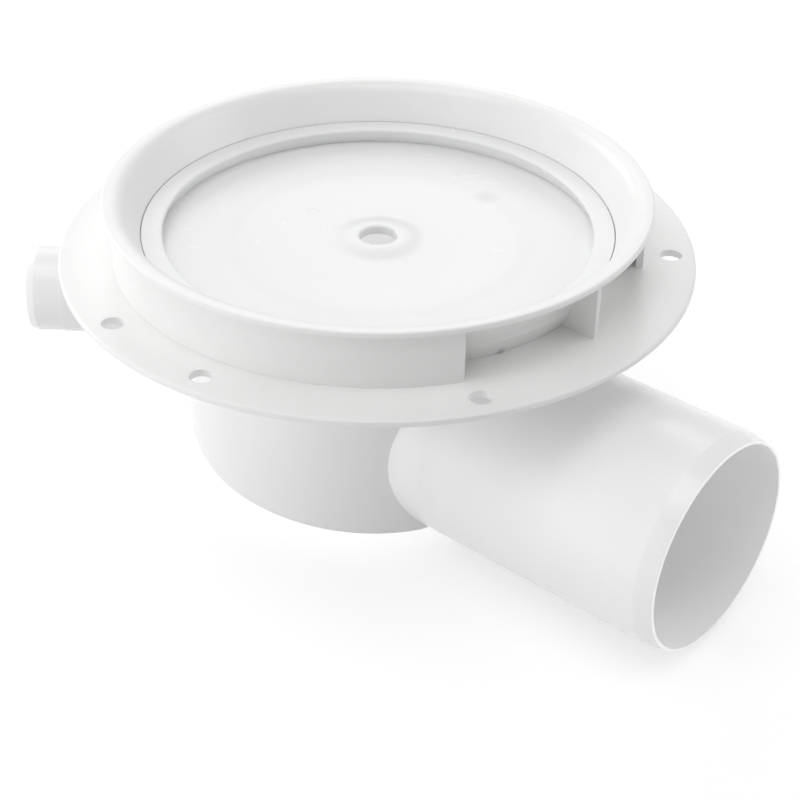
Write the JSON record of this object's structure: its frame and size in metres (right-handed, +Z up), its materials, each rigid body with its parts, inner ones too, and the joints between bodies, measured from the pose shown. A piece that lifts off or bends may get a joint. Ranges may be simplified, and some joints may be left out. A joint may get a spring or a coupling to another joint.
{
  "type": "floor drain",
  "caption": "White plastic floor drain with a fixing collar, water seal, side inlet and straight outlet.",
  "frame": {"origin": "on the collar's axis at the height of the floor that the foot ring stands on", "axes": "+Z up along the collar's axis, +X out along the outlet spigot, +Y across to the left of the outlet"},
  "size_m": [0.2512, 0.215, 0.1162],
  "materials": {
    "white_plastic": "satin",
    "cover_plastic": "satin",
    "insert_plastic": "satin",
    "seal_rubber": "matte"
  },
  "bodies": {
    "root": {"collar": "white_plastic", "cover_disc": "cover_plastic", "trap_body": "white_plastic", "overflow": "insert_plastic", "bell": "insert_plastic", "seal_ring": "seal_rubber"}
  },
  "joints": []
}
